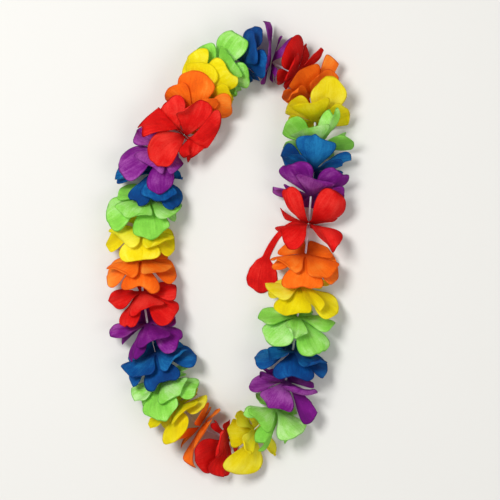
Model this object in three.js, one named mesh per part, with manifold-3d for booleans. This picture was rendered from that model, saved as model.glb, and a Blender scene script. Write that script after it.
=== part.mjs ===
// A rainbow flower lei laid out flat: cloth blooms threaded on a looped string, with straw spacers
// between them. Millimetres, +Z up. The lei lies on the plane z = 0, and its outline is centred on the
// origin.

import * as THREE from 'three';
import { mergeVertices } from 'three/addons/utils/BufferGeometryUtils.js';
import Module from 'manifold-3d';

const wasm = await Module();
wasm.setup();

// Driving dimensions.
const STRING_HEIGHT = 22;
const STRING_RADIUS = 0.5;
const STRAW_RADIUS = 1.3;
const STRAW_BORE = 0.95;
const HUB_RADIUS = 4.6;
const HUB_LENGTH = 2.4;
const HUB_HOLE = 1.35;
const STRAW_END_GAP = 0.9;
const CLOTH = 0.8;
const PETAL_REACH = 48;
const WIDEST = 0.72;
const ROOT_SHARE = 0.17;
const LAYER_OFFSET = 0.8;
const LAYER_SPREAD = 6.5;
const LAYER_BOW = 5.5;
const FLOOR_LEVEL = CLOTH / 2;
const TIP_ROUNDING = 0.16;

// Each petal's length and width as shares of the full ones, and its tip's as a share of its widest:
// the least and the most.
const LENGTHS = [0.9, 1.06];
const WIDTHS = [0.9, 1.02];
const TIPS = [0.42, 0.7];

// How much each petal's own cup, curl and twist bow it along the string, and the height that a cup
// bows about.
const CUP_SHARE = 0.9;
const CUP_LEVEL = 0.35;
const CURL_SHARE = 0.8;
const TWIST_SHARE = 0.6;

// Petals that point down are shorter, and the layers close up from TUCK_START to TUCK_DEPTH further
// down below the string. Petals on the inner side of a bend are shorter by up to INNER_CUT.
const LOW_CUT = 0.25;
const LOW_REACH = LENGTHS[1] * PETAL_REACH * (1 - LOW_CUT);
const TUCK_START = 8;
const TUCK_DEPTH = 14;
const TUCK_SHARE = 0.5;
const INNER_CUT = 0.6;

const KNOT_RADIUS = 1.5;
const KNOT_CORD = 0.55;
const TAIL_LENGTH = 9;
const TAIL_DIRECTIONS = [[-0.5, 0.62, 0.6], [0.35, 0.8, 0.48]];
const ROUND_SEGMENTS = 3;
const TAIL_SIDES = 2 * ROUND_SEGMENTS;
const KNOT_SEGMENTS = [16, 4];

// How a bloom's cloth leans along the string at full lean, in radians: NEAR over the string, FAR at
// the tips of the petals that stand highest, and BELOW under the string.
const BEND_START = 1.5;
const BEND_LENGTH = 42;
const BEND_NEAR = 0.65;
const BEND_FAR = 1.15;
const BEND_BELOW = 0.8;
const CONE = 0.3;
const LEAST_LEAN = 0.02;

// The petals in each of a bloom's two layers, half their width, how narrow they start, and where the draws
// of the back ones begin. Most blooms have few broad petals, and the back layer's stand between the front
// layer's. Two of them open their layers apart with the petals of both at the same turns: one has more
// petals than the rest.
const PLAIN_FORM = { petals: 4, halfWidth: 22, narrow: 1.2, backTurn: 1, backDraw: 4 };
const OPEN_FORM = { petals: 4, halfWidth: 22, narrow: 1.2, backTurn: 0, backDraw: 4 };
const ROSETTE_FORM = { petals: 6, halfWidth: 18, narrow: 1.9, backTurn: 0, backDraw: 9 };
const OWN_FORMS = new Map([[2, ROSETTE_FORM], [22, OPEN_FORM]]);

// The rows along a petal, as shares of its length.
const FRONT_ROWS = [0.3, 0.6, 0.84, 1];
const BACK_ROWS = [0.4, 0.76, 1];

const COLOURS = {
  yellow: 0xe6d200,
  orange: 0xf5700f,
  red: 0xdc0a08,
  purple: 0x90149a,
  blue: 0x0a5fb0,
  green: 0x84d63c,
};
const STRING_COLOUR = 0xf2f0ea;
const STRAW_COLOUR = 0xe8e6f0;

// One row for each bloom, in order along the string: colour, where its hub lies (mm), the turn of its
// petals about the string (degrees; 0 points out of the loop, 90 points up), and the lean of its back
// and its front layer, from about -1 (towards the bloom before) to 1 (towards the next).
const BLOOMS = [
  ['yellow', -30, 195, 54, -0.85, -0.85],
  ['orange', -41, 168, 20, -1, -1],
  ['red', -57, 144, 30, -1.1, 1.1],
  ['purple', -80, 125, 30, 1.0, 1.1],
  ['blue', -93, 96, 70, 0.95, 1.1],
  ['green', -102, 63, 20, 0.7, 1],
  ['yellow', -108, 27, 90, 0.75, 1],
  ['orange', -111, -12, 90, 0.7, 1],
  ['red', -109, -53, 54, 0.75, 1],
  ['purple', -103, -93, 54, 0.7, 1],
  ['blue', -93, -129, 90, 0.7, 1],
  ['green', -82, -163, 60, 0.7, 0.8],
  ['yellow', -63, -196, 54, 0.4, 0.4],
  ['orange', -37, -222, 0, -0.05, -0.1],
  ['red', -3, -236, 0, -0.5, -0.5],
  ['yellow', 30, -226, 70, -0.8, -0.8],
  ['green', 57, -199, 110, -1, -0.7],
  ['purple', 70, -165, 54, -1, -0.3],
  ['blue', 79, -127, 35, -0.7, -0.5],
  ['green', 85, -85, 90, -0.9, -0.7],
  ['yellow', 90, -45, 60, -1, -0.7],
  ['orange', 95, -6, 45, -1.05, -0.85],
  ['red', 99, 33, 45, -0.75, 1.1],
  ['purple', 102, 69, 40, 0.7, 0.9],
  ['blue', 105, 100, 90, 0.7, 0.9],
  ['green', 107, 131, 60, 0.6, 0.9],
  ['yellow', 107, 162, 54, 0.7, 0.85],
  ['orange', 101, 193, 90, 0.7, 0.6],
  ['red', 83, 221, 57, 0.38, 0.35],
  ['purple', 52, 235, 90, -0.05, -0.1],
  ['blue', 18, 234, 66, -0.5, -0.5],
  ['green', -10, 218, 85, -0.8, -0.75],
];

const BARE_GAPS = [3, 9, 15, 24, 27];
const KNOT_GAP = 15;

// One back petal of the red bloom on the right has pulled loose: a strap of cloth from its hub, lying down
// inside the loop with its round end flat on the surface. Half its width is given at shares of its length.
const STRAY_BLOOM = 22;
const STRAY_PETAL = 2;
const STRAY_ACROSS = 50;
const STRAY_ALONG = 97;
const STRAY_WIDTHS = [
  [0, 2.5],
  [0.2, 3],
  [0.4, 3.5],
  [0.66, 4.5],
  [0.71, 12],
  [0.78, 18],
  [0.86, 20],
  [0.94, 17.5],
  [1, 10],
];
const STRAY_TIP_ROUNDING = 5;

// Its way is measured over STRAY_STEP either side. It goes inwards, goes along the string and comes down
// over these shares of its length.
const STRAY_STEP = 0.01;
const STRAY_INWARDS = [-0.1, 0.75];
const STRAY_BACKWARDS = [0.2, 1.15];
const STRAY_FALLING = [-0.2, 0.5];

const COUNT = BLOOMS.length;

// The string's route: a closed curve through the hubs, where u counts blooms.
const hubs = BLOOMS.map(([, x, y]) => new THREE.Vector2(x, y));

function route(u) {
  const first = Math.floor(u);
  const f = u - first;
  const [a, b, c, d] = [-1, 0, 1, 2].map((step) => hubs[(((first + step) % COUNT) + COUNT) % COUNT]);
  const along = (p, q, r, s) =>
    0.5 * (2 * q + (r - p) * f + (2 * p - 5 * q + 4 * r - s) * f * f + (3 * q - p - 3 * r + s) * f * f * f);
  return new THREE.Vector2(along(a.x, b.x, c.x, d.x), along(a.y, b.y, c.y, d.y));
}

function heading(u) {
  return route(u + 0.5).sub(route(u - 0.5));
}

function outward(u) {
  const forward = heading(u).normalize();
  return new THREE.Vector2(forward.y, -forward.x);
}

// A repeatable number from 0 to 1 for each trait of each petal.
function draw(bloom, petal, trait) {
  const wave = Math.sin(bloom * 12.9898 + petal * 78.233 + trait * 37.719) * 43758.5453;
  return wave - Math.floor(wave);
}

function formOf(bloom) {
  return OWN_FORMS.get(bloom) ?? PLAIN_FORM;
}

function petalTraits(bloom, petal) {
  return {
    length: THREE.MathUtils.lerp(...LENGTHS, draw(bloom, petal, 1)),
    width: THREE.MathUtils.lerp(...WIDTHS, draw(bloom, petal, 2)),
    tip: THREE.MathUtils.lerp(...TIPS, draw(bloom, petal, 3)),
    cup: 2 * draw(bloom, petal, 4) - 1,
    curl: 2 * draw(bloom, petal, 5) - 1,
    twist: 2 * draw(bloom, petal, 6) - 1,
  };
}

// Half the petal's width along its length, as a share of the widest: narrow at the hub, broad and
// rounded past half.
function outlineWidth(p, tip, narrow) {
  if (p < WIDEST) {
    return ROOT_SHARE + (1 - ROOT_SHARE) * Math.sin((Math.PI / 2) * (p / WIDEST)) ** narrow;
  }
  const past = (p - WIDEST) / (1 - WIDEST);
  return Math.sqrt(1 - past * past * (1 - tip * tip));
}

// The loop bends tightly at its two ends, so the petals on its inner side are shorter there.
function innerShare(bloom) {
  const bend = outward(bloom - 0.5).angleTo(outward(bloom + 0.5));
  return 1 - INNER_CUT * Math.min(1, (bend * PETAL_REACH) / heading(bloom).length());
}

// The lean at any place along the string, between the layers it is given for.
function leanAt(u) {
  const step = 2 * u + 0.5;
  const first = Math.floor(step);
  const [before, after] = [first, first + 1].map((n) => {
    const layer = ((n % (2 * COUNT)) + 2 * COUNT) % (2 * COUNT);
    return BLOOMS[Math.floor(layer / 2)][4 + (layer % 2)];
  });
  return before + (step - first) * (after - before);
}

// The tilt of the bloom's lower half at any place along the string: the mean of its layers' leans.
function tiltAt(u) {
  const first = Math.floor(u);
  const [before, after] = [first, first + 1].map((n) => {
    const [, , , , back, front] = BLOOMS[((n % COUNT) + COUNT) % COUNT];
    return (back + front) / 2;
  });
  return BEND_BELOW * (before + (u - first) * (after - before));
}

// How far cloth at a height over or under the string is carried along it, and how high it still stands.
function bend(rise, lean, tilt) {
  const tall = Math.sign(rise) * Math.max(0, Math.abs(rise) - BEND_START);
  if (tall <= 0) {
    return [Math.sin(tilt) * tall, rise - tall + Math.cos(tilt) * tall];
  }
  const near = lean * BEND_NEAR;
  const rate = (Math.abs(lean) < LEAST_LEAN ? LEAST_LEAN : lean) * (BEND_FAR - BEND_NEAR) / BEND_LENGTH;
  const far = near + rate * tall;
  return [(Math.cos(near) - Math.cos(far)) / rate, BEND_START + (Math.sin(far) - Math.sin(near)) / rate];
}

// A point of the bloom: across and rise lie in the plane across the string, and along is measured along
// it. The lower petals are squashed, so that the longest of them just rests on the surface.
function place(bloom, across, rise, along) {
  const step = heading(bloom).length();
  const under = FLOOR_LEVEL - STRING_HEIGHT;
  const deepest = (under + BEND_START) / Math.cos(tiltAt(bloom)) - BEND_START;
  const squash = (Math.min(rise, 0) * (LOW_REACH + deepest)) / LOW_REACH ** 2;
  const height = rise * (1 + squash);
  const u = bloom + along / step;
  const lean = leanAt(u);
  const [shift, stand] = bend(height, lean, tiltAt(u));
  const spread = CONE * lean * Math.max(0, Math.abs(across) - HUB_RADIUS);
  const v = u + (shift + spread) / step;
  const centre = route(v);
  const out = outward(v);
  const beyond = Math.max(0, -across - HUB_RADIUS);
  const side = across + beyond * (1 - innerShare(bloom));
  const level = Math.max(stand, under);
  return new THREE.Vector3(centre.x + side * out.x, centre.y + side * out.y, STRING_HEIGHT + level);
}

// A point of a petal: p runs from its root to its tip, q from -1 to 1 across it. side is 1 in the
// front layer and -1 in the back one. It strays along the string by less than half the way to the next
// bloom, so that neighbours never meet, and the two layers stay apart in the same way.
function petalPoint(bloom, side, angle, traits, p, q) {
  const down = Math.max(0, -Math.sin(angle));
  const rounding = TIP_ROUNDING * (traits.tip * q * p) ** 2;
  const low = 1 - LOW_CUT * down;
  const reach = PETAL_REACH * traits.length * low * (1 - rounding);
  const { halfWidth, narrow } = formOf(bloom);
  const half = halfWidth * traits.width * low * outlineWidth(p, traits.tip, narrow);
  const radius = HUB_RADIUS + p * (reach - HUB_RADIUS);
  const across = radius * Math.cos(angle) - q * half * Math.sin(angle);
  const rise = radius * Math.sin(angle) + q * half * Math.cos(angle);
  const cup = CUP_SHARE * traits.cup * (q * q - CUP_LEVEL);
  const curl = CURL_SHARE * traits.curl * (p - 0.5);
  const bow = THREE.MathUtils.clamp(cup + curl + TWIST_SHARE * traits.twist * q, -1, 1);
  const tuck = TUCK_SHARE * THREE.MathUtils.clamp((-rise - TUCK_START) / TUCK_DEPTH, 0, 1);
  const along = side * (1 - tuck) * (LAYER_OFFSET + p * (LAYER_SPREAD + LAYER_BOW * bow));
  return place(bloom, across, rise, along);
}

// The way that a layer's outer face looks at each point of a petal's grid.
function gridNormals(grid, side) {
  const normals = grid.map((row) => row.map(() => new THREE.Vector3()));
  const facet = (...corners) => {
    const [a, b, c] = corners.map(([r, k]) => grid[r][k]);
    const normal = b.clone().sub(a).cross(c.clone().sub(a));
    corners.forEach(([r, k]) => normals[r][k].add(normal));
  };
  for (let r = 0; r < grid.length - 1; r += 1) {
    for (let k = 0; k < grid[r].length - 1; k += 1) {
      facet([r, k], [r, k + 1], [r + 1, k + 1]);
      facet([r, k], [r + 1, k + 1], [r + 1, k]);
    }
  }
  normals.flat().forEach((normal) => normal.normalize().multiplyScalar(side));
  return normals;
}

function surface(points, triangles) {
  const geometry = new THREE.BufferGeometry();
  const places = points.flatMap((point) => point.toArray());
  geometry.setAttribute('position', new THREE.Float32BufferAttribute(places, 3));
  geometry.setIndex(triangles);
  return geometry;
}

// One bloom as a closed body: a pinched disc with a hole for the string, and two layers of petals on
// its rim.
function bloomGeometry(bloom) {
  const points = [];
  const triangles = [];
  const keep = (point) => points.push(point) - 1;
  const quad = (a, b, c, d) => triangles.push(a, b, c, a, c, d);
  const spin = THREE.MathUtils.degToRad(BLOOMS[bloom][3]);
  const { petals, backTurn, backDraw } = formOf(bloom);
  const rim = 2 * petals;
  const ring = (radius, along) =>
    Array.from({ length: rim }, (_, j) => {
      const angle = spin + (2 * Math.PI * j) / rim;
      return keep(place(bloom, radius * Math.cos(angle), radius * Math.sin(angle), along));
    });
  const [holeFront, holeBack] = [1, -1].map((side) => ring(HUB_HOLE, (side * HUB_LENGTH) / 2));
  const rims = {};
  for (const side of [1, -1]) {
    const outer = ring(HUB_RADIUS, side * (LAYER_OFFSET + CLOTH / 2));
    const inner = ring(HUB_RADIUS, side * (LAYER_OFFSET - CLOTH / 2));
    rims[side] = { outer, inner };
  }
  for (let j = 0; j < rim; j += 1) {
    const n = (j + 1) % rim;
    quad(holeFront[j], holeFront[n], rims[1].outer[n], rims[1].outer[j]);
    quad(holeBack[n], holeBack[j], rims[-1].outer[j], rims[-1].outer[n]);
    quad(holeBack[j], holeBack[n], holeFront[n], holeFront[j]);
    quad(rims[1].inner[j], rims[1].inner[n], rims[-1].inner[n], rims[-1].inner[j]);
  }
  for (const [side, rows, first] of [[1, FRONT_ROWS, 0], [-1, BACK_ROWS, backTurn]]) {
    for (let k = 0; k < petals; k += 1) {
      const root = [2 * k - 1 + first, 2 * k + first, 2 * k + 1 + first].map((j) => (j + rim) % rim);
      const angle = spin + (2 * Math.PI * root[1]) / rim;
      const traits = petalTraits(bloom, side > 0 ? k : k + backDraw);
      const grid = [root.map((j) => {
        const turn = spin + (2 * Math.PI * j) / rim;
        return place(bloom, HUB_RADIUS * Math.cos(turn), HUB_RADIUS * Math.sin(turn), side * LAYER_OFFSET);
      })];
      const loose = bloom === STRAY_BLOOM && side < 0 && k === STRAY_PETAL;
      const ownRows = loose ? [] : rows;
      ownRows.forEach((p) => grid.push([-1, 0, 1].map((q) => petalPoint(bloom, side, angle, traits, p, q))));
      const outer = [root.map((j) => rims[side].outer[j])];
      const inner = [root.map((j) => rims[side].inner[j])];
      const normals = gridNormals(grid, side);
      for (let r = 1; r < grid.length; r += 1) {
        const half = CLOTH / 2;
        outer.push(grid[r].map((point, c) => keep(point.clone().addScaledVector(normals[r][c], half))));
        inner.push(grid[r].map((point, c) => keep(point.clone().addScaledVector(normals[r][c], -half))));
      }
      // The faces of the back layer run the other way round.
      const face = (a, b, c, d) => (side > 0 ? quad(a, b, c, d) : triangles.push(d, c, a, c, b, a));
      const last = grid.length - 1;
      for (let r = 0; r < last; r += 1) {
        for (const c of [0, 1]) {
          face(outer[r][c], outer[r][c + 1], outer[r + 1][c + 1], outer[r + 1][c]);
          face(inner[r + 1][c + 1], inner[r][c + 1], inner[r][c], inner[r + 1][c]);
        }
        face(inner[r][0], outer[r][0], outer[r + 1][0], inner[r + 1][0]);
        face(outer[r][2], inner[r][2], inner[r + 1][2], outer[r + 1][2]);
      }
      for (const c of [0, 1]) {
        face(outer[last][c], outer[last][c + 1], inner[last][c + 1], inner[last][c]);
      }
    }
  }
  return surface(points, triangles);
}

// The loose petal as a closed thin blade, with both faces split alike.
function strayGeometry() {
  const { smoothstep } = THREE.MathUtils;
  const step = heading(STRAY_BLOOM).length();
  const line = (p) => {
    const out = -STRAY_ACROSS * smoothstep(p, ...STRAY_INWARDS);
    const u = STRAY_BLOOM - (LAYER_OFFSET + STRAY_ALONG * smoothstep(p, ...STRAY_BACKWARDS)) / step;
    const fall = STRING_HEIGHT * (1 - smoothstep(p, ...STRAY_FALLING));
    const way = outward(u);
    const centre = route(u);
    return new THREE.Vector3(centre.x + out * way.x, centre.y + out * way.y, FLOOR_LEVEL + fall);
  };
  const points = [];
  for (const [p, half] of STRAY_WIDTHS) {
    const forward = line(p + STRAY_STEP).sub(line(p - STRAY_STEP)).setZ(0).normalize();
    const sideways = new THREE.Vector3(-forward.y, forward.x, 0);
    for (const q of [-1, 0, 1]) {
      const point = line(p).addScaledVector(sideways, q * half);
      point.addScaledVector(forward, p === 1 ? -STRAY_TIP_ROUNDING * q * q : 0);
      points.push(point.clone().setZ(point.z + CLOTH / 2), point.clone().setZ(point.z - CLOTH / 2));
    }
  }
  const triangles = [];
  const quad = (a, b, c, d) => triangles.push(a, b, c, a, c, d);
  const last = STRAY_WIDTHS.length - 1;
  const at = (r, c, face) => (r * 3 + c) * 2 + face;
  for (let r = 0; r < last; r += 1) {
    for (const c of [0, 1]) {
      quad(at(r, c, 0), at(r + 1, c, 0), at(r + 1, c + 1, 0), at(r, c + 1, 0));
      triangles.push(at(r + 1, c, 1), at(r, c, 1), at(r + 1, c + 1, 1));
      triangles.push(at(r, c + 1, 1), at(r + 1, c + 1, 1), at(r, c, 1));
    }
    quad(at(r, 0, 1), at(r + 1, 0, 1), at(r + 1, 0, 0), at(r, 0, 0));
    quad(at(r, 2, 0), at(r + 1, 2, 0), at(r + 1, 2, 1), at(r, 2, 1));
  }
  for (const c of [0, 1]) {
    quad(at(0, c, 0), at(0, c + 1, 0), at(0, c + 1, 1), at(0, c, 1));
    quad(at(last, c, 1), at(last, c + 1, 1), at(last, c + 1, 0), at(last, c, 0));
  }
  return surface(points, triangles);
}

function solid(geometry) {
  const bare = geometry.clone();
  bare.deleteAttribute('normal');
  bare.deleteAttribute('uv');
  const merged = mergeVertices(bare, 1e-4);
  const vertProperties = new Float32Array(merged.attributes.position.array);
  const triVerts = new Uint32Array(merged.index.array);
  return new wasm.Manifold(new wasm.Mesh({ numProp: 3, vertProperties, triVerts }));
}

function shown(body) {
  const { vertProperties, triVerts } = body.getMesh();
  const geometry = new THREE.BufferGeometry();
  geometry.setAttribute('position', new THREE.BufferAttribute(vertProperties, 3));
  geometry.setIndex(new THREE.BufferAttribute(triVerts, 1));
  return geometry;
}

// A round bar with its middle at a point, lying along a direction.
function bar(radius, length, sides, middle, direction) {
  const geometry = new THREE.CylinderGeometry(radius, radius, length, sides);
  geometry.applyQuaternion(new THREE.Quaternion().setFromUnitVectors(new THREE.Vector3(0, 1, 0), direction));
  return geometry.translate(middle.x, middle.y, middle.z);
}

function onString(u) {
  const place = route(u);
  return new THREE.Vector3(place.x, place.y, STRING_HEIGHT);
}

// A stretch of straw, standing on its end.
function strawGeometry(length) {
  const ring = new THREE.Shape().absarc(0, 0, STRAW_RADIUS, 0, 2 * Math.PI);
  ring.holes.push(new THREE.Path().absarc(0, 0, STRAW_BORE, 0, 2 * Math.PI, true));
  const settings = { depth: length, bevelEnabled: false, curveSegments: ROUND_SEGMENTS, steps: 1 };
  return new THREE.ExtrudeGeometry(ring, settings);
}

// The string: straight from hub to hub, starting and ending in its knot.
class StringRoute extends THREE.Curve {
  constructor() {
    super();
    const knot = onString(KNOT_GAP).add(onString(KNOT_GAP + 1)).multiplyScalar(0.5);
    const round = BLOOMS.map((_, k) => onString(KNOT_GAP + 1 + k));
    this.points = [knot, ...round, knot];
  }

  getPointAt(t, target = new THREE.Vector3()) {
    const at = t * (this.points.length - 1);
    const k = Math.min(Math.floor(at), this.points.length - 2);
    return target.lerpVectors(this.points[k], this.points[k + 1], at - k);
  }

  getTangentAt(t, target = new THREE.Vector3()) {
    const last = this.points.length - 1;
    const k = Math.round(t * last);
    const [before, after] = [Math.max(k - 1, 0), Math.min(k + 1, last)];
    return target.subVectors(this.points[after], this.points[before]).normalize();
  }
}

function stringGeometry() {
  const section = new THREE.Shape().absarc(0, 0, STRING_RADIUS, 0, 2 * Math.PI);
  const path = new StringRoute();
  const steps = path.points.length - 1;
  const settings = { extrudePath: path, steps, curveSegments: ROUND_SEGMENTS };
  const cord = new THREE.ExtrudeGeometry(section, settings);
  const knot = new THREE.TorusKnotGeometry(KNOT_RADIUS, KNOT_CORD, ...KNOT_SEGMENTS);
  const [middle] = path.points;
  knot.translate(middle.x, middle.y, middle.z);
  let body = solid(cord).add(solid(knot));
  for (const tail of TAIL_DIRECTIONS) {
    const direction = new THREE.Vector3(...tail).normalize();
    const centre = middle.clone().addScaledVector(direction, TAIL_LENGTH / 2);
    body = body.add(solid(bar(STRING_RADIUS, TAIL_LENGTH, TAIL_SIDES, centre, direction)));
  }
  return shown(body);
}

const lei = new THREE.Group();

function add(name, geometry, color, roughness) {
  const mesh = new THREE.Mesh(geometry, new THREE.MeshStandardMaterial({ color, roughness, metalness: 0 }));
  mesh.name = name;
  lei.add(mesh);
  return mesh;
}

function number(k) {
  return String(k + 1).padStart(2, '0');
}

add('string', stringGeometry(), STRING_COLOUR, 0.8);

BLOOMS.forEach(([colour], k) => {
  const bloom = bloomGeometry(k);
  const whole = k === STRAY_BLOOM ? shown(solid(bloom).add(solid(strayGeometry()))) : bloom;
  add(`bloom_${number(k)}_${colour}`, whole, COLOURS[colour], 0.85);
  if (!BARE_GAPS.includes(k)) {
    const start = onString(k);
    const way = onString(k + 1).sub(start);
    const length = way.length() - HUB_LENGTH - 2 * STRAW_END_GAP;
    const straw = add(`straw_${number(k)}`, strawGeometry(length), STRAW_COLOUR, 0.35);
    way.normalize();
    straw.quaternion.setFromUnitVectors(new THREE.Vector3(0, 0, 1), way);
    straw.position.copy(start).addScaledVector(way, HUB_LENGTH / 2 + STRAW_END_GAP);
  }
});

export default lei;
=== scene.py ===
"""A rainbow flower lei laid out flat: cloth blooms on a looped string, with straws between them."""

import math

import bmesh
import bpy
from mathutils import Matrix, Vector, noise


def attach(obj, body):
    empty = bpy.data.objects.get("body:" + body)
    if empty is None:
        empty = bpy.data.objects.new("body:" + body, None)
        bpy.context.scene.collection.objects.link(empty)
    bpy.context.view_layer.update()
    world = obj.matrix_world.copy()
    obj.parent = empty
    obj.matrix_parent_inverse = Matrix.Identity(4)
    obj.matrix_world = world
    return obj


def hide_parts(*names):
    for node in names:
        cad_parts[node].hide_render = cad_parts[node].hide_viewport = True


bl_info = {
    "name": "Rainbow Flower Lei",
    "version": (1, 0, 0),
    "blender": (4, 5, 0),
    "location": "3D View > Sidebar > Lei",
    "description": "Makes a lei of cloth blooms, straw spacers and a knotted string",
    "category": "Object",
}

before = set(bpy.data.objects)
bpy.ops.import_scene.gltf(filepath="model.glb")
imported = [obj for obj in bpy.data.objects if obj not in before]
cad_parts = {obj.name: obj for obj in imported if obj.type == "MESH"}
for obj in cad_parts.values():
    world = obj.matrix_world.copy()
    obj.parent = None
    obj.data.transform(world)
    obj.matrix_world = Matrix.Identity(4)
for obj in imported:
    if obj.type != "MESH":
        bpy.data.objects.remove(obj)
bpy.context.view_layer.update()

MM = 0.001

# The lei's make, in millimetres, radians and shares, as in the part's source.
STRING_HEIGHT = 22
STRAW_RADIUS = 1.3
STRAW_BORE = 0.95
HUB_RADIUS = 4.6
HUB_LENGTH = 2.4
HUB_HOLE = 1.35
STRAW_END_GAP = 0.9
PETAL_REACH = 48
WIDEST = 0.72
ROOT_SHARE = 0.17
LAYER_OFFSET = 0.8
LAYER_SPREAD = 6.5
LAYER_BOW = 5.5
FLOOR_LEVEL = 0.4
TIP_ROUNDING = 0.16
CUP_SHARE = 0.9
CUP_LEVEL = 0.35
CURL_SHARE = 0.8
TWIST_SHARE = 0.6
LENGTHS = (0.9, 1.06)
WIDTHS = (0.9, 1.02)
TIPS = (0.42, 0.7)
LOW_CUT = 0.25
LOW_REACH = LENGTHS[1] * PETAL_REACH * (1 - LOW_CUT)
TUCK_START = 8
TUCK_DEPTH = 14
TUCK_SHARE = 0.5
INNER_CUT = 0.6
KNOT_RADIUS = 1.5
TAIL_LENGTH = 9
TAIL_DIRECTIONS = ((-0.5, 0.62, 0.6), (0.35, 0.8, 0.48))
BEND_START = 1.5
BEND_LENGTH = 42
BEND_NEAR = 0.65
BEND_FAR = 1.15
BEND_BELOW = 0.8
CONE = 0.3
LEAST_LEAN = 0.02

# Colour, hub place, turn of the petals in degrees, and the lean of the back and the front layer.
BLOOMS = [
    ("yellow", -30, 195, 54, -0.85, -0.85),
    ("orange", -41, 168, 20, -1, -1),
    ("red", -57, 144, 30, -1.1, 1.1),
    ("purple", -80, 125, 30, 1.0, 1.1),
    ("blue", -93, 96, 70, 0.95, 1.1),
    ("green", -102, 63, 20, 0.7, 1),
    ("yellow", -108, 27, 90, 0.75, 1),
    ("orange", -111, -12, 90, 0.7, 1),
    ("red", -109, -53, 54, 0.75, 1),
    ("purple", -103, -93, 54, 0.7, 1),
    ("blue", -93, -129, 90, 0.7, 1),
    ("green", -82, -163, 60, 0.7, 0.8),
    ("yellow", -63, -196, 54, 0.4, 0.4),
    ("orange", -37, -222, 0, -0.05, -0.1),
    ("red", -3, -236, 0, -0.5, -0.5),
    ("yellow", 30, -226, 70, -0.8, -0.8),
    ("green", 57, -199, 110, -1, -0.7),
    ("purple", 70, -165, 54, -1, -0.3),
    ("blue", 79, -127, 35, -0.7, -0.5),
    ("green", 85, -85, 90, -0.9, -0.7),
    ("yellow", 90, -45, 60, -1, -0.7),
    ("orange", 95, -6, 45, -1.05, -0.85),
    ("red", 99, 33, 45, -0.75, 1.1),
    ("purple", 102, 69, 40, 0.7, 0.9),
    ("blue", 105, 100, 90, 0.7, 0.9),
    ("green", 107, 131, 60, 0.6, 0.9),
    ("yellow", 107, 162, 54, 0.7, 0.85),
    ("orange", 101, 193, 90, 0.7, 0.6),
    ("red", 83, 221, 57, 0.38, 0.35),
    ("purple", 52, 235, 90, -0.05, -0.1),
    ("blue", 18, 234, 66, -0.5, -0.5),
    ("green", -10, 218, 85, -0.8, -0.75),
]

# The petals in each layer, half their width, how narrow they start, whether the back layer's petals
# stand between the front layer's, and where the back layer's draws begin.
PLAIN_FORM = (4, 22, 1.2, True, 4)
OWN_FORMS = {2: (6, 18, 1.9, False, 9), 22: (4, 22, 1.2, False, 4)}
BARE_GAPS = (3, 9, 15, 24, 27)
KNOT_GAP = 15
COUNT = len(BLOOMS)

# The loose petal takes the place of one back petal: how far it runs across and along the string, half its
# width at shares of its length, and the stretches in which it goes inwards, goes back and falls.
STRAY_BLOOM = 22
STRAY_PETAL = 2
STRAY_ACROSS = 50
STRAY_ALONG = 97
STRAY_WIDTHS = (
    (0, 2.5),
    (0.2, 3),
    (0.4, 3.5),
    (0.66, 4.5),
    (0.71, 12),
    (0.78, 18),
    (0.86, 20),
    (0.94, 17.5),
    (1, 10),
)
STRAY_TIP_ROUNDING = 5
STRAY_TIP_SHARPNESS = 8
STRAY_STEP = 0.01
STRAY_INWARDS = (-0.1, 0.75)
STRAY_BACKWARDS = (0.2, 1.15)
STRAY_FALLING = (-0.2, 0.5)
STRAY_RIPPLE = 1.2
STRAY_RIPPLE_SCALE = 90
STRAY_RIPPLE_FROM = (0.3, 0.6)
STRAY_TONE = 0.4


def smoothstep(x, low, high):
    t = min(1, max(0, (x - low) / (high - low)))
    return t * t * (3 - 2 * t)


def clamp(x, low, high):
    return min(high, max(low, x))


def lerp(a, b, t):
    return a + (b - a) * t


def draw(bloom, petal, trait):
    """A repeatable number from 0 to 1 for each trait of each petal."""
    wave = math.sin(bloom * 12.9898 + petal * 78.233 + trait * 37.719) * 43758.5453
    return wave - math.floor(wave)


def route(u):
    """The string's route, a closed curve through the hubs, where u counts blooms."""
    first = math.floor(u)
    f = u - first
    a, b, c, d = (Vector(BLOOMS[(first + step) % COUNT][1:3]) for step in (-1, 0, 1, 2))
    cubic = 3 * b - a - 3 * c + d
    square = 2 * a - 5 * b + 4 * c - d
    return 0.5 * (2 * b + (c - a) * f + square * f * f + cubic * f**3)


def heading(u):
    return route(u + 0.5) - route(u - 0.5)


def outward(u):
    forward = heading(u).normalized()
    return Vector((forward.y, -forward.x))


STEPS = [heading(k).length for k in range(COUNT)]


def inner_share(k):
    """The share that is left of a bloom's petals on the inner side of the string's bend there."""
    turn = outward(k - 0.5).angle(outward(k + 0.5))
    return 1 - INNER_CUT * min(1, turn * PETAL_REACH / STEPS[k])


INNER_SHARES = [inner_share(k) for k in range(COUNT)]


def on_string(u):
    """Where the string runs, with u counting blooms."""
    spot = route(u)
    return Vector((spot.x, spot.y, STRING_HEIGHT)) * MM


def form_of(bloom):
    return OWN_FORMS.get(bloom, PLAIN_FORM)


def lean_at(u):
    """The lean at any place along the string, between the layers it is given for."""
    step = 2 * u + 0.5
    first = math.floor(step)
    before, after = (BLOOMS[(n % (2 * COUNT)) // 2][4 + n % 2] for n in (first, first + 1))
    return lerp(before, after, step - first)


def tilt_at(u):
    """The tilt of the bloom's lower half at any place along the string: the mean of its layers' leans."""
    first = math.floor(u)
    before, after = (sum(BLOOMS[n % COUNT][4:6]) / 2 for n in (first, first + 1))
    return BEND_BELOW * lerp(before, after, u - first)


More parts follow.
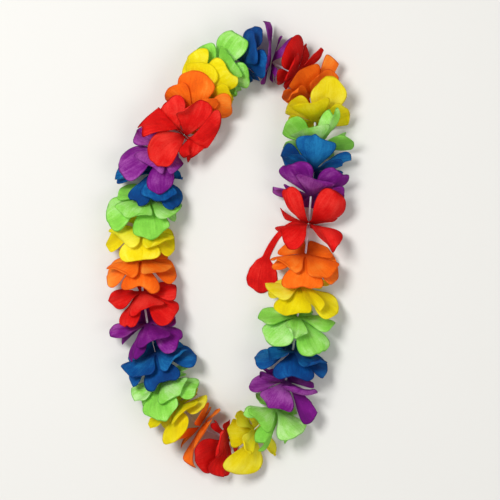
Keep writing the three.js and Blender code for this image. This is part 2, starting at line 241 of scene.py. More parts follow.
def bend(rise, lean, tilt):
    """How far cloth at some height over the string is carried along it, and how high it still stands."""
    tall = math.copysign(max(0, abs(rise) - BEND_START), rise)
    if tall <= 0:
        return math.sin(tilt) * tall, rise - tall + math.cos(tilt) * tall
    near = lean * BEND_NEAR
    rate = (LEAST_LEAN if abs(lean) < LEAST_LEAN else lean) * (BEND_FAR - BEND_NEAR) / BEND_LENGTH
    far = near + rate * tall
    return (math.cos(near) - math.cos(far)) / rate, BEND_START + (math.sin(far) - math.sin(near)) / rate


def place(bloom, across, rise, along, lap=0):
    """A point of a bloom: across and rise lie in the plane across the string, along is measured along it.

    The lower petals are squashed, so that the longest of them just rests on the surface. A lap draws the
    cloth back over the valley between the layers of a bloom that lies open, and lifts it a little.
    """
    step = STEPS[bloom]
    under = FLOOR_LEVEL - STRING_HEIGHT
    deepest = (under + BEND_START) / math.cos(tilt_at(bloom)) - BEND_START
    height = rise * (1 + min(rise, 0) * (LOW_REACH + deepest) / LOW_REACH**2)
    u = bloom + along / step
    lean = lean_at(u)
    shift, stand = bend(height, lean, tilt_at(u))
    spread = CONE * lean * max(0, abs(across) - HUB_RADIUS)
    v = lerp(u + (shift + spread) / step, bloom, lap)
    centre = route(v)
    out = outward(v)
    beyond = max(0, -across - HUB_RADIUS)
    side = across + beyond * (1 - INNER_SHARES[bloom])
    level = STRING_HEIGHT + max(stand, under) + LAP_LIFT * lap * lap
    return Vector((centre.x + side * out.x, centre.y + side * out.y, level)) * MM


# Rows along a petal's sheet, the first of them inside the hub, and columns across it. The rows stand a
# little closer towards the tip, and the root follows the hub's round rim for a share of the length.
ROWS = 12
COLUMNS = 10
ROW_CROWDING = 0.9
ROOT_GATHER = 0.14

# Points of neighbouring petals closer than this, in millimetres, are joined.
WELD = 0.01

# The cloth is a little broader than the part's solids, and a layer's petals pass over one another. Each
# pair says between which shares of a petal's length the change comes in.
BROADER = 1.22
BROADENING = (0.15, 0.6)
OVERLAP_STEP = 0.9
OVERLAPPING = (0.05, 0.5)
LEAVING_HUB = (0, 0.1)

# How far the blooms that stand upright flare open at their petals' tips, in millimetres, and the heights
# over the string between which the flare grows from nothing to its whole.
FLARES = {13: 14, 29: 11}
FLARE_LOW = -14
FLARE_TOP = 16

# The share of petals with a notched tip, how deep the notch is, and how round the other tips may be.
NOTCHED = 0.15
NOTCH = -0.2
ROUNDEST = 0.3
END_SHARE = 0.97
END_SHARPNESS = 6

# The least and the most of each ruffle's height in millimetres and of its waves, how much they slant
# across the petal, and how sharply they grow towards its sides.
RUFFLES = (0.3, 1.2)
WAVES = (0.4, 1.1)
RUFFLE_SLANT = 0.4
RUFFLE_EDGE = 1.5

# Two soft creases along each petal: how far from its middle, as a share of half its width, and how deep
# in millimetres each may be, their width, and the shares of the length between which they grow.
CREASES = ((0.6, 2.2), (0.8, 1.2))
CREASE_WIDTH = 0.45
CREASING = (0.1, 0.7)

# The share of petals with a turned tip, where it starts, its turn in radians, and how flat it is pressed.
HEMMED = 0.2
HEM_START = 0.84
HEM_TURNS = (1.2, 2.6)
HEM_FLATNESS = 0.8

# The share of petals folded along their middle, how deep in millimetres, and how narrow that leaves
# them, with the shares of the length between which the fold and the narrowing come in.
FOLDED = 0.25
FOLDS = (3, 7.5)
FOLDING = (0.05, 0.4)
FOLD_MIDDLE = 0.4
FOLD_NARROWNESS = 0.55
FOLD_NARROWING = (0, 0.4)

# On the full bloom that lies open, the petals beside the valley between its layers lap over it, the front
# ones on top. The laps are shares of the way back to the hub's plane, whole where the cloth is this low
# and this far across, and none above the top or inside the inner distance.
ROSETTE = 2
FRONT_LAP = 1.3
BACK_LAP = 0.75
LAP_TOP = 26
LAP_FULL = 8
LAP_INNER = 3
LAP_OUTER = 12
LAP_LIFT = 3.5
BESIDE_VALLEY = 0.5


class Petal:
    """One petal's form: its size, the bow it shares with the part's solid, its ruffles and creases."""

    def __init__(self, bloom, side, k):
        self.bloom, self.side = bloom, side
        self.petals, half_width, self.narrow, between, back_draw = form_of(bloom)
        seed = k if side > 0 else k + back_draw
        trait = [draw(bloom, seed, n) for n in range(20)]
        back_turn = side < 0 and between
        self.angle = math.radians(BLOOMS[bloom][3]) + math.pi * (2 * k + back_turn) / self.petals
        self.low = 1 - LOW_CUT * max(0, -math.sin(self.angle))
        self.length = lerp(*LENGTHS, trait[1])
        self.width = half_width * lerp(*WIDTHS, trait[2]) * self.low
        self.tip = lerp(*TIPS, trait[3])
        self.cup = 2 * trait[4] - 1
        self.curl = 2 * trait[5] - 1
        self.twist = 2 * trait[6] - 1
        notched = trait[7] < NOTCHED
        self.round = lerp(NOTCH, 0, trait[7] / NOTCHED) if notched else ROUNDEST * trait[7]
        self.ruffle = lerp(*RUFFLES, trait[8])
        self.waves = lerp(*WAVES, trait[9])
        self.phase = trait[10]
        self.creases = [
            ((2 * trait[11 + 2 * n] - 1) * far, (2 * trait[12 + 2 * n] - 1) * deep)
            for n, (far, deep) in enumerate(CREASES)
        ]
        self.hem = lerp(*HEM_TURNS, trait[16]) if trait[15] < HEMMED else 0
        self.fold = lerp(*FOLDS, trait[18]) if trait[17] < FOLDED else 0
        self.tone = trait[19]
        self.over = OVERLAP_STEP * (1 if k % 2 else -1)
        beside = math.sin(self.angle) > 0 and abs(math.cos(self.angle)) > BESIDE_VALLEY
        self.lap = (FRONT_LAP if side > 0 else BACK_LAP) if bloom == ROSETTE and beside else 0

    def half_width(self, p):
        """Half the petal's width at a share p of its length."""
        if p < WIDEST:
            share = ROOT_SHARE + (1 - ROOT_SHARE) * math.sin(math.pi / 2 * p / WIDEST) ** self.narrow
        else:
            past = (p - WIDEST) / (1 - WIDEST)
            share = math.sqrt(1 - past * past * (1 - self.tip * self.tip))
        narrowest = FOLD_NARROWNESS if self.fold else 1
        narrowing = lerp(1, narrowest, smoothstep(p, *FOLD_NARROWING))
        broader = lerp(1, BROADER, smoothstep(p, *BROADENING))
        return self.width * broader * narrowing * share

    def reach(self, p, q):
        """How far the petal reaches from the string, less where its tip is rounded or notched."""
        arc = 1 - math.sqrt(1 - (END_SHARE * q) ** 2)
        end = self.round * self.tip * self.width / PETAL_REACH * arc
        rounding = TIP_ROUNDING * (self.tip * q * p) ** 2 + end * p**END_SHARPNESS
        return PETAL_REACH * self.length * self.low * (1 - rounding)

    def depth(self, p, q):
        """How far from the hub's plane the cloth is: the bow of the part's solid, with finer forms."""
        bow = CUP_SHARE * self.cup * (q * q - CUP_LEVEL) + CURL_SHARE * self.curl * (p - 0.5)
        bow = clamp(bow + TWIST_SHARE * self.twist * q, -1, 1)
        depth = LAYER_OFFSET + p * (LAYER_SPREAD + LAYER_BOW * bow)
        ruffled = math.sin(2 * math.pi * (self.waves * (p + RUFFLE_SLANT * q) + self.phase))
        depth += self.ruffle * p * p * abs(q) ** RUFFLE_EDGE * ruffled
        for middle, crease in self.creases:
            depth += crease * smoothstep(p, *CREASING) * smoothstep(abs(q - middle), CREASE_WIDTH, 0)
        depth += self.fold * (abs(q) - FOLD_MIDDLE) * smoothstep(p, *FOLDING)
        return depth + self.over * smoothstep(p, *OVERLAPPING)

    def point(self, p, q):
        """Where the cloth lies at a share p of the petal's length, and q from -1 to 1 across it."""
        reach = self.reach(p, q)
        radius = HUB_RADIUS + p * (reach - HUB_RADIUS)
        sideways = q * self.half_width(p)
        along = self.depth(p, q)
        if self.hem and p > HEM_START:
            turn = self.hem * (p - HEM_START) / (1 - HEM_START)
            bow_radius = (1 - HEM_START) * reach / self.hem
            radius = HUB_RADIUS + HEM_START * (reach - HUB_RADIUS) + bow_radius * math.sin(turn)
            along += bow_radius * (1 - math.cos(turn)) * HEM_FLATNESS
        root = smoothstep(p, 0, ROOT_GATHER)
        arc = q * math.pi / self.petals
        radius = lerp(HUB_RADIUS * math.cos(arc) + radius - HUB_RADIUS, radius, root)
        sideways = lerp(HUB_RADIUS * math.sin(arc), sideways, root)
        across = radius * math.cos(self.angle) - sideways * math.sin(self.angle)
        rise = radius * math.sin(self.angle) + sideways * math.cos(self.angle)
        along = lerp(LAYER_OFFSET, along, smoothstep(p, *LEAVING_HUB))
        along += FLARES.get(self.bloom, 0) * smoothstep(rise, FLARE_LOW, FLARE_TOP) * p * p
        along *= self.side * (1 - TUCK_SHARE * clamp((-rise - TUCK_START) / TUCK_DEPTH, 0, 1))
        lap = self.lap * smoothstep(rise, LAP_TOP, LAP_FULL)
        lap *= smoothstep(abs(across), LAP_INNER, LAP_OUTER)
        return place(self.bloom, across, rise, along, lap)

    def hub_point(self, t, q):
        """Where the gathered cloth of the hub lies, from the hole at t = 0 to the rim at t = 1."""
        turn = self.angle + q * math.pi / self.petals
        radius = lerp(HUB_HOLE, HUB_RADIUS, t)
        along = self.side * lerp(HUB_LENGTH / 2, LAYER_OFFSET, t)
        return place(self.bloom, radius * math.cos(turn), radius * math.sin(turn), along)

    def cloth(self, sheet):
        """Adds the petal's sheet with its part of the hub, and keeps where each point is on the cloth."""
        on_cloth = sheet.verts.layers.float_vector["cloth"]
        made = bmesh.ops.create_grid(sheet, x_segments=COLUMNS, y_segments=ROWS, size=1)
        for vert in made["verts"]:
            q = vert.co.x
            row = (vert.co.y + 1) / 2 * ROWS
            p = ((row - 1) / (ROWS - 1)) ** ROW_CROWDING if row > 1 else 0
            vert[on_cloth] = (q, p, self.tone)
            vert.co = self.point(p, q) if row > 1 else self.hub_point(row, q)


class Wire:
    """A node socket that takes part in plain Python expressions."""

    def __init__(self, finish, socket):
        self.finish, self.socket = finish, socket

    def maths(self, operation, *values):
        return self.finish.node("Math", {"operation": operation}, dict(enumerate(values)))

    def __add__(self, other):
        return self.maths("ADD", self, other)

    def __sub__(self, other):
        return self.maths("SUBTRACT", self, other)

    def __mul__(self, other):
        return self.maths("MULTIPLY", self, other)

    def __rsub__(self, other):
        return self.maths("SUBTRACT", other, self)

    __radd__ = __add__

    def sine(self):
        return self.maths("SINE", self)

    def size(self):
        return self.maths("ABSOLUTE", self)

    def ramp(self, low, high):
        """0 below low, 1 above high, and a soft step between them."""
        settings = {"interpolation_type": "SMOOTHSTEP"}
        return self.finish.node("MapRange", settings, {"Value": self, "From Min": low, "From Max": high})


class Finish:
    """A material's node tree."""

    def __init__(self, name):
        self.material = bpy.data.materials.new(name)
        self.material.use_nodes = True
        self.tree = self.material.node_tree
        self.tree.nodes.clear()

    def node(self, kind, settings=None, sockets=None, output=0):
        """Adds a node, applies its settings, then fills or links its sockets by name or number."""
        node = self.tree.nodes.new("ShaderNode" + kind)
        for name, value in (settings or {}).items():
            setattr(node, name, value)
        for name, value in (sockets or {}).items():
            if isinstance(value, Wire):
                self.tree.links.new(value.socket, node.inputs[name])
            else:
                node.inputs[name].default_value = value
        return Wire(self, node.outputs[output])

    def mix(self, factor, first, second, blend="MIX"):
        """Mixes two colours."""
        node = self.tree.nodes.new("ShaderNodeMix")
        node.data_type = "RGBA"
        node.blend_type = blend
        for number, value in {0: factor, 6: first, 7: second}.items():
            if isinstance(value, Wire):
                self.tree.links.new(value.socket, node.inputs[number])
            else:
                node.inputs[number].default_value = value
        return Wire(self, node.outputs[2])

    def noise(self, where, scale, detail=2, roughness=0.5):
        sockets = {"Vector": where, "Scale": scale, "Detail": detail, "Roughness": roughness}
        return self.node("TexNoise", {}, sockets)

    def relief(self, height, depth, strength):
        """Makes the surface look raised, with a depth in metres and a strength from 0 to 1."""
        return self.node("Bump", {}, {"Strength": strength, "Distance": depth, "Height": height})

    def surface(self, colour, roughness, **sockets):
        """A plain surface, with any other sockets by name, their spaces written as underscores."""
        sockets = {name.replace("_", " "): value for name, value in sockets.items()}
        return self.node("BsdfPrincipled", {}, {"Base Color": colour, "Roughness": roughness, **sockets})

    def through(self, share, surface, **sockets):
        """Lets a share of the light come through a surface."""
        light = self.node("BsdfTranslucent", {}, sockets)
        return self.node("MixShader", {}, {0: share, 1: surface, 2: light})

    def output(self, shader):
        end = self.tree.nodes.new("ShaderNodeOutputMaterial")
        self.tree.links.new(shader.socket, end.inputs["Surface"])
        return self.material


# Each dye: the painted shade of the cloth at the hub, in folds and along the cut edges, the plain cloth's
# own colour, and a pale colour that is painted on as a highlight and is also the colour of the light that
# comes through it.
DYES_WITH_PAINTED_SHADE_AND_LIGHT = {
    "yellow": ((0.62, 0.46, 0.0), (0.92, 0.78, 0.0), (1.0, 0.94, 0.10)),
    "orange": ((0.62, 0.05, 0.0), (1.0, 0.20, 0.005), (1.0, 0.40, 0.05)),
    "red": ((0.28, 0.0, 0.0), (0.78, 0.004, 0.003), (0.95, 0.06, 0.04)),
    "purple": ((0.05, 0.0, 0.08), (0.25, 0.006, 0.28), (0.54, 0.14, 0.55)),
    "blue": ((0.001, 0.004, 0.09), (0.001, 0.09, 0.34), (0.02, 0.28, 0.60)),
    "green": ((0.08, 0.36, 0.02), (0.33, 0.78, 0.10), (0.70, 0.98, 0.48)),
}


# The cloth's mottle, patches and pleats: how fine they are, how much each lightens the cloth towards the
# painted highlight and away from the painted shade, and how much each raises the surface. Pleats are
# stretched across a petal, along it and from petal to petal.
MOTTLE_SCALE = 520
MOTTLE_LIGHT = 1.3
MOTTLE_HEIGHT = 0.5
PATCH_SCALE = 42
PATCH_LIGHT = 2.2
PATCH_MIDDLE = 0.45
PLEAT_SCALE = 1.6
PLEAT_STRETCH = (7, 1.2, 40)
PLEAT_LIGHT = 1.3
PLEAT_HEIGHT = 1.6
TONE_LIGHT = 0.7

# Where the cloth is light enough to take the painted highlight and dark enough to take the painted shade,
# the shares of a petal that its hub and cut edges take up, and how strong the painted shade is in the
# shade, at the hub and on the edges.
PALE_LIGHT = (-0.1, 1.1)
DEEP_SHADE = (0.25, 1.3)
HUB_SHARES = (0.02, 0.5)
SIDE_EDGE = (0.93, 1)
SIDE_EDGE_FROM = (0.15, 0.3)
END_EDGE = (0.955, 1)
SHADE_DEPTH = 0.55
HUB_SHADE = 0.6
EDGE_SHADE = 0.75

# The weave's threads across and along a petal, the depth of the relief, and the light coming through.
WEAVE_ACROSS = 150
WEAVE_ALONG = 260
WEAVE_HEIGHT = 0.25
CLOTH_RELIEF = 0.0006
CLOTH_THROUGH = 0.36


def cloth_finish(dye):
    """Thin dyed cloth with a fine weave: painted shade at the hub, in patches and along the cut edges,
    and painted highlights in patches.
    """
    # deep is the painted shade, plain the cloth's own colour, and pale the painted highlight, which is
    # also the colour of the light coming through.
    deep, plain, pale = (colour + (1,) for colour in DYES_WITH_PAINTED_SHADE_AND_LIGHT[dye])
    f = Finish("cloth_" + dye)
    on_cloth = f.node("Attribute", {"attribute_name": "cloth"}, output=1)
    q, p, tone = (f.node("SeparateXYZ", {}, {0: on_cloth}, output=n) for n in range(3))
    where = f.node("TexCoord", output=3)
    mottle = f.noise(where, MOTTLE_SCALE, detail=3, roughness=0.65)
    patches = f.noise(where, PATCH_SCALE)
    pleats_at = {n: wire * stretch for n, (wire, stretch) in enumerate(zip((q, p, tone), PLEAT_STRETCH))}
    pleats = f.noise(f.node("CombineXYZ", {}, pleats_at), PLEAT_SCALE, detail=3, roughness=0.6)
    # Painted shade towards the hub, where the petals gather.
    hub = 1 - p.ramp(*HUB_SHARES)
    # Painted shade along the petal's cut edges.
    edge = q.size().ramp(*SIDE_EDGE) * p.ramp(*SIDE_EDGE_FROM) + p.ramp(*END_EDGE)
    # How lit the cloth is painted, from the patches, the petal's tone, the mottle and the pleats.
    lit = (patches - PATCH_MIDDLE) * PATCH_LIGHT + (tone - 0.5) * TONE_LIGHT
    lit = lit + (mottle - 0.5) * MOTTLE_LIGHT + (pleats - 0.5) * PLEAT_LIGHT
    # Painted highlight where the cloth is painted as lit, painted shade where it is painted as dark.
    colour = f.mix(lit.ramp(*PALE_LIGHT), plain, pale)
    colour = f.mix((0.5 - lit).ramp(*DEEP_SHADE) * SHADE_DEPTH, colour, deep)
    # Painted shade at the hub.
    colour = f.mix(hub * HUB_SHADE, colour, deep)
    # Painted shade on the cut edges.
    colour = f.mix(edge.ramp(0, 1) * EDGE_SHADE, colour, deep)
    threads = (q * WEAVE_ACROSS).sine() * (p * WEAVE_ALONG).sine()
    height = threads * WEAVE_HEIGHT + mottle * MOTTLE_HEIGHT + pleats * PLEAT_HEIGHT
    raised = f.relief(height, CLOTH_RELIEF, strength=0.55)
    cloth = f.surface(colour, 0.62 + mottle * 0.2, Normal=raised, Specular_IOR_Level=0.2)
    return f.output(f.through(CLOTH_THROUGH, cloth, Color=pale, Normal=raised))


# The straw plastic's colours where it is dull and clear, its colour for light that comes through, and
# that light's share.
STRAW_COLOURS = ((0.70, 0.69, 0.80, 1), (0.90, 0.89, 0.94, 1))
STRAW_LIGHT = (0.9, 0.89, 0.95, 1)
STRAW_THROUGH = 0.35


def straw_finish():
    """Milky straw plastic that lets some light through, a little cloudy and scuffed."""
    f = Finish("straw_plastic")
    where = f.node("TexCoord", output=3)
    scuffs = f.noise(where, scale=700, detail=4)
    cloud = f.noise(where, scale=90)
    colour = f.mix(cloud.ramp(0.3, 0.7), *STRAW_COLOURS)
    scuffed = f.relief(scuffs, depth=0.0002, strength=0.3)
    plastic = f.surface(colour, 0.25 + scuffs * 0.2, Normal=scuffed)
    return f.output(f.through(STRAW_THROUGH, plastic, Color=STRAW_LIGHT))


def thread_finish(name, colour, shade):
    """Twisted thread, with fine fibres along it."""
    f = Finish(name)
    where = f.node("TexCoord", output=3)
    fibres = f.noise(where, scale=2500)
    tint = f.mix(fibres.ramp(0.35, 0.65), shade + (1,), colour + (1,))
    fuzz = f.relief(fibres, depth=0.0001, strength=0.5)
    return f.output(f.surface(tint, roughness=0.85, Normal=fuzz))


def floor_finish(colour):
    """A plain pale table top with the faintest grain."""
    f = Finish("table_top")
    where = f.node("TexCoord", output=3)
    grain = f.noise(where, scale=30)
    tint = f.mix(grain * 0.08, tuple(colour) + (1,), tuple(0.94 * c for c in colour) + (1,))
    return f.output(f.surface(tint, roughness=0.8))


def mesh_of(name, shape):
    """A mesh made of a shape, which is then freed."""
    mesh = bpy.data.meshes.new(name)
    shape.to_mesh(mesh)
    shape.free()
    return mesh


def piece(name, mesh, finish):
    """Puts a finished mesh into the scene, smooth shaded, with its finish."""
    made = bpy.data.objects.new(name, mesh)
    bpy.context.scene.collection.objects.link(made)
    mesh.materials.append(finish)
    for face in mesh.polygons:
        face.use_smooth = True
    return made


def give_thickness(obj, thickness):
    """Rounds the sheet's facets off and gives it the thickness of the cloth."""
    smooth = obj.modifiers.new("smooth", "SUBSURF")
    smooth.levels = smooth.render_levels = 1
    wall = obj.modifiers.new("wall", "SOLIDIFY")
    wall.thickness = thickness
    wall.offset = 0


def stray_line(p):
    """Where the middle of the loose petal runs."""
    out = -STRAY_ACROSS * smoothstep(p, *STRAY_INWARDS)
    along = LAYER_OFFSET + STRAY_ALONG * smoothstep(p, *STRAY_BACKWARDS)
    u = STRAY_BLOOM - along / STEPS[STRAY_BLOOM]
    fall = STRING_HEIGHT * (1 - smoothstep(p, *STRAY_FALLING))
    centre = route(u) + out * outward(u)
    return Vector((centre.x, centre.y, FLOOR_LEVEL + fall)) * MM


def stray_half(p):
    """Half the loose petal's width, rounded off at its end."""
    for (p0, w0), (p1, w1) in zip(STRAY_WIDTHS, STRAY_WIDTHS[1:]):
        if p <= p1:
            return lerp(w0, w1, smoothstep(p, p0, p1)) * MM
    return STRAY_WIDTHS[-1][1] * MM


def stray_cloth(sheet):
    """Adds the loose petal's sheet, with a faint ripple where it lies on the surface."""
    on_cloth = sheet.verts.layers.float_vector["cloth"]
    made = bmesh.ops.create_grid(sheet, x_segments=COLUMNS, y_segments=4 * ROWS, size=1)
    for vert in made["verts"]:
        q, p = vert.co.x, (vert.co.y + 1) / 2
        forward = stray_line(p + STRAY_STEP) - stray_line(p - STRAY_STEP)
        forward.z = 0
        forward.normalize()
        sideways = Vector((-forward.y, forward.x, 0))
        vert[on_cloth] = (q, p, STRAY_TONE)
        rounding = STRAY_TIP_ROUNDING * MM * q * q * p**STRAY_TIP_SHARPNESS
        vert.co = stray_line(p) + sideways * q * stray_half(p) - forward * rounding
        ripple = (0.5 + 0.5 * noise.noise(vert.co * STRAY_RIPPLE_SCALE)) * STRAY_RIPPLE * MM
        vert.co.z += ripple * smoothstep(p, *STRAY_RIPPLE_FROM)


class LeiSizes(bpy.types.PropertyGroup):
    """The sizes and colours of the lei that a user may change."""

    cloth: bpy.props.FloatProperty(
        name="Cloth",
        description="Thickness of the bloom cloth",
        default=0.35 * MM,
        unit="LENGTH",
    )
    thread: bpy.props.FloatProperty(
        name="Thread",
        description="Radius of each of the string's plies",
        default=0.28 * MM,
        unit="LENGTH",
    )
    floor: bpy.props.FloatVectorProperty(
        name="Table",
        description="Colour of the table top",
        default=(0.66, 0.65, 0.62),
        subtype="COLOR",
    )
    distance: bpy.props.FloatProperty(
        name="Camera height",
        description="How high over the table the camera is",
        default=2.6,
        unit="LENGTH",
    )


def bloom_sheet(bloom):
    """The thin sheet of a whole bloom, its petals joined where they meet at the hub."""
    sheet = bmesh.new()
    sheet.verts.layers.float_vector.new("cloth")
    for side in (1, -1):
        for k in range(form_of(bloom)[0]):
            if (bloom, side, k) != (STRAY_BLOOM, -1, STRAY_PETAL):
                Petal(bloom, side, k).cloth(sheet)
    bmesh.ops.remove_doubles(sheet, verts=sheet.verts, dist=WELD * MM)
    if bloom == STRAY_BLOOM:
        stray_cloth(sheet)
    bmesh.ops.recalc_face_normals(sheet, faces=sheet.faces)
    return sheet


class LEI_OT_blooms(bpy.types.Operator):
    """Make the cloth blooms, each of two layers of petals gathered at its hub"""

    bl_idname = "lei.blooms"
    bl_label = "Make Blooms"

    def execute(self, context):
        sizes = context.scene.lei
        finishes = {dye: cloth_finish(dye) for dye in DYES_WITH_PAINTED_SHADE_AND_LIGHT}
        for bloom, (dye, *_) in enumerate(BLOOMS):
            name = f"{bloom + 1:02d}_{dye}"
            mesh = mesh_of("cloth_bloom_" + name, bloom_sheet(bloom))
            cloth = piece("cloth_bloom_" + name, mesh, finishes[dye])
            give_thickness(cloth, sizes.cloth)
            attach(cloth, "root")
            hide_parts("bloom_" + name)
        return {"FINISHED"}


# The sides of a straw's tube, and the rings along it.
STRAW_SIDES = 20
STRAW_RINGS = 6


def straw_tube(start, end):
    """The bare tube of a straw from one place to another, without its wall."""
    tube = bmesh.new()
    bmesh.ops.create_circle(tube, segments=STRAW_SIDES, radius=STRAW_RADIUS * MM)
    edges = tube.edges[:]
    step = (end - start).length / STRAW_RINGS
    for _ in range(STRAW_RINGS):
        grown = bmesh.ops.extrude_edge_only(tube, edges=edges)
        edges = [e for e in grown["geom"] if isinstance(e, bmesh.types.BMEdge)]
        verts = [v for v in grown["geom"] if isinstance(v, bmesh.types.BMVert)]
        bmesh.ops.translate(tube, verts=verts, vec=(0, 0, step))
    turn = (end - start).to_track_quat("Z", "Y").to_matrix().to_4x4()
    bmesh.ops.transform(tube, matrix=turn, verts=tube.verts)
    bmesh.ops.translate(tube, verts=tube.verts, vec=start)
    bmesh.ops.recalc_face_normals(tube, faces=tube.faces)
    return tube


class LEI_OT_straws(bpy.types.Operator):
    """Make the straw spacers between the blooms"""

    bl_idname = "lei.straws"
    bl_label = "Make Straws"

    def execute(self, context):
        finish = straw_finish()
        for gap in range(COUNT):
            if gap in BARE_GAPS:
                continue
            start, end = on_string(gap), on_string(gap + 1)
            clear = (end - start).normalized() * (HUB_LENGTH / 2 + STRAW_END_GAP) * MM
            name = f"straw_tube_{gap + 1:02d}"
            straw = piece(name, mesh_of(name, straw_tube(start + clear, end - clear)), finish)
            wall = straw.modifiers.new("wall", "SOLIDIFY")
            wall.thickness = (STRAW_RADIUS - STRAW_BORE) * MM
            wall.offset = -1
            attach(straw, "root")
            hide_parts(f"straw_{gap + 1:02d}")
        return {"FINISHED"}


# How far each ply is from the string's middle, the length of one full twist, and the points along one.
PLY_OFFSET = 0.22 * MM
LAY = 4 * MM
POINTS_A_TURN = 8
UP = Vector((0, 0, 1))

# The knot is a trefoil of thicker thread, and the tails' plies part from a point near their ends.
KNOT_POINTS = 60
KNOT_TIGHTNESS = 0.7
KNOT_THICKNESS = 1.7
TAIL_POINTS = 28
FRAYED_FROM = 20
TAIL_FRAYING = 2.5
THREAD_COLOURS = ((0.86, 0.85, 0.80), (0.62, 0.60, 0.55))


def twisted(start, way, side, other, s, turn, spread):
    """A point of a ply at a distance along a straight way, its turn measured from the side."""
    return start + way * s + (side * math.cos(turn) + other * math.sin(turn)) * spread


def loop_ply(stops, half):
    """One ply round the whole loop, which starts at half a turn or none."""
    points, travelled = [], 0
    for a, b in zip(stops, stops[1:]):
        length = (b - a).length
        way = (b - a).normalized()
        side = Vector((way.y, -way.x, 0))
        count = max(2, round(length / (LAY / POINTS_A_TURN)))
        for n in range(count):
            s = length * n / count
            turn = 2 * math.pi * (travelled + s) / LAY + half
            points.append(twisted(a, way, side, UP, s, turn, PLY_OFFSET))
        travelled += length
    return points


def knot_ply(knot_at):
    """A trefoil of thread, drawn tight."""
    points = []
    for n in range(KNOT_POINTS + 1):
        t = 2 * math.pi * n / KNOT_POINTS
        ring = 1 + 0.5 * math.cos(3 * t)
        trefoil = Vector((math.cos(2 * t) * ring, math.sin(2 * t) * ring, math.sin(3 * t)))
        points.append(knot_at + trefoil * KNOT_RADIUS * MM * KNOT_TIGHTNESS)
    return points


def tail_ply(knot_at, way, half):
    """One ply of a tail, which parts from the other near the tail's end."""
    side = way.orthogonal().normalized()
    other = way.cross(side)
    points = []
    for n in range(TAIL_POINTS + 1):
        s = TAIL_LENGTH * MM * n / TAIL_POINTS
        turn = 2 * math.pi * s / LAY + half
        spread = PLY_OFFSET * (1 + TAIL_FRAYING * smoothstep(n, FRAYED_FROM, TAIL_POINTS))
        points.append(twisted(knot_at, way, side, other, s, turn, spread))
    return points


def add_ply(curve, points, thickness=1):
    """Adds one ply along some points, with its thickness as a share of the plain one's."""
    line = curve.splines.new("POLY")
    line.points.add(len(points) - 1)
    for spot, point in zip(line.points, points):
        spot.co = (*point, 1)
        spot.radius = thickness


class LEI_OT_string(bpy.types.Operator):
    """Make the two-ply string with its knot and tails"""

    bl_idname = "lei.string"
    bl_label = "Make String"

    def execute(self, context):
        sizes = context.scene.lei
        curve = bpy.data.curves.new("thread", "CURVE")
        curve.dimensions = "3D"
        curve.bevel_depth = sizes.thread
        curve.bevel_resolution = 1
        curve.use_fill_caps = True
        knot_at = (on_string(KNOT_GAP) + on_string(KNOT_GAP + 1)) / 2
        stops = [knot_at] + [on_string(KNOT_GAP + 1 + k) for k in range(COUNT)] + [knot_at]
        for half in (0, math.pi):
            add_ply(curve, loop_ply(stops, half))
        add_ply(curve, knot_ply(knot_at), KNOT_THICKNESS)
        for tail in TAIL_DIRECTIONS:
            for half in (0, math.pi):
                add_ply(curve, tail_ply(knot_at, Vector(tail).normalized(), half))
        wound = bpy.data.objects.new("wound", curve)
        bpy.context.scene.collection.objects.link(wound)
        bpy.context.view_layer.update()
        mesh = bpy.data.meshes.new_from_object(wound.evaluated_get(bpy.context.evaluated_depsgraph_get()))
        bpy.data.objects.remove(wound)
        mesh.materials.clear()
        string = piece("twisted_string", mesh, thread_finish("thread", *THREAD_COLOURS))
        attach(string, "root")
        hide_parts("string")
        return {"FINISHED"}


# Half the table top's width in metres, and how high it is, just under the lei.
TABLE_HALF_WIDTH = 4
TABLE_LEVEL = -0.05 * MM

# Each light: where it hangs, its width in metres and its power in watts. Both face the lei's middle.
LIGHTS = {
    "key": ((-1.0, 0.7, 2.4), 0.9, 64),
    "fill": ((1.3, -0.8, 2.0), 1.6, 16),
}
SKY_STRENGTH = 0.42

# The camera hangs over this point and takes in this width at this height over the table, in metres. Its
# sensor is in millimetres.
CAMERA_OVER = (0.0255, 0)
VIEW_WIDTH = 0.625
VIEW_LEVEL = 0.03
SENSOR_WIDTH = 36


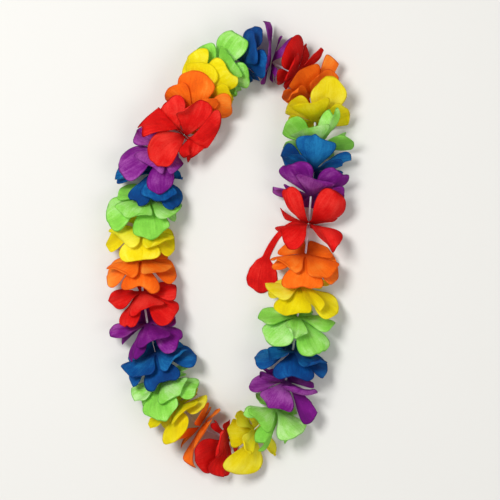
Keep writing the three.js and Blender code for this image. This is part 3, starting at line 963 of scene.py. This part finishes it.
class LEI_OT_stage(bpy.types.Operator):
    """Set the pale table top, the soft studio lights and the camera"""

    bl_idname = "lei.stage"
    bl_label = "Set Stage"

    def execute(self, context):
        sizes = context.scene.lei
        top = bmesh.new()
        bmesh.ops.create_grid(top, x_segments=1, y_segments=1, size=TABLE_HALF_WIDTH)
        bmesh.ops.translate(top, verts=top.verts, vec=(0, 0, TABLE_LEVEL))
        piece("table_top", mesh_of("table_top", top), floor_finish(sizes.floor))
        for name, (at, size, power) in LIGHTS.items():
            light = bpy.data.lights.new(name, "AREA")
            light.shape = "DISK"
            light.size = size
            light.energy = power
            lamp = bpy.data.objects.new(name, light)
            lamp.location = at
            lamp.rotation_euler = (-Vector(at)).to_track_quat("-Z", "Y").to_euler()
            context.scene.collection.objects.link(lamp)
        world = bpy.data.worlds.new("studio")
        world.use_nodes = True
        sky = world.node_tree.nodes["Background"]
        sky.inputs["Color"].default_value = (1, 1, 1, 1)
        sky.inputs["Strength"].default_value = SKY_STRENGTH
        context.scene.world = world
        context.scene.view_settings.view_transform = "Standard"
        view = bpy.data.cameras.new("camera")
        view.sensor_width = SENSOR_WIDTH
        view.lens = SENSOR_WIDTH * (sizes.distance - VIEW_LEVEL) / VIEW_WIDTH
        camera = bpy.data.objects.new("camera", view)
        camera.location = (*CAMERA_OVER, sizes.distance)
        context.scene.collection.objects.link(camera)
        context.scene.camera = camera
        return {"FINISHED"}


class LEI_PT_panel(bpy.types.Panel):
    """The lei's pieces and sizes"""

    bl_idname = "LEI_PT_panel"
    bl_label = "Lei"
    bl_space_type = "VIEW_3D"
    bl_region_type = "UI"
    bl_category = "Lei"

    def draw(self, context):
        for name in LeiSizes.__annotations__:
            self.layout.prop(context.scene.lei, name)
        for step in STEPS_OF_WORK:
            self.layout.operator(step.bl_idname)


STEPS_OF_WORK = (LEI_OT_stage, LEI_OT_string, LEI_OT_blooms, LEI_OT_straws)
CLASSES = (LeiSizes, *STEPS_OF_WORK, LEI_PT_panel)


def register():
    for cls in CLASSES:
        bpy.utils.register_class(cls)
    bpy.types.Scene.lei = bpy.props.PointerProperty(type=LeiSizes)


def unregister():
    del bpy.types.Scene.lei
    for cls in reversed(CLASSES):
        bpy.utils.unregister_class(cls)


def plain(box):
    return [[round(float(c), 6) for c in corner] for corner in box]


def main():
    register()
    bpy.ops.lei.stage()
    bpy.ops.lei.string()
    bpy.ops.lei.blooms()
    bpy.ops.lei.straws()


if __name__ == "__main__":
    main()
